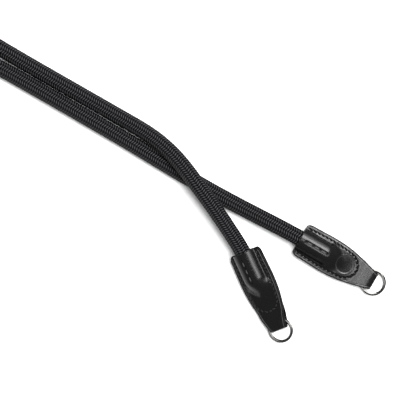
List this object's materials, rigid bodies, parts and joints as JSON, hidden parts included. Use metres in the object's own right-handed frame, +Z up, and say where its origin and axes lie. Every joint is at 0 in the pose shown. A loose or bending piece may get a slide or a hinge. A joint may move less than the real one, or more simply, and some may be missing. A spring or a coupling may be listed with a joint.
{
  "type": "rope camera strap",
  "caption": "Black braided rope strap with stitched leather end tabs, each folded round a split ring that hangs on a camera's strap lug.",
  "frame": {"origin": "bottom centre of the box of the two leather tabs with their rings, on the surface that the strap lies on", "axes": "+Z up from the surface, +X from the middle of the strap towards the tabs' tips, nearly along the right tab"},
  "size_m": [0.4825, 0.0948, 0.0204],
  "materials": {
    "braided_sheath": "tight black braid with a faint sheen",
    "tab_leather": "smooth glossy black leather",
    "ring_metal": "polished nickel plating"
  },
  "bodies": {
    "root": {"braided_rope": "braided_sheath", "leather_tab_right": "tab_leather", "leather_tab_left": "tab_leather", "split_ring_right": "ring_metal", "split_ring_left": "ring_metal"}
  },
  "joints": []
}
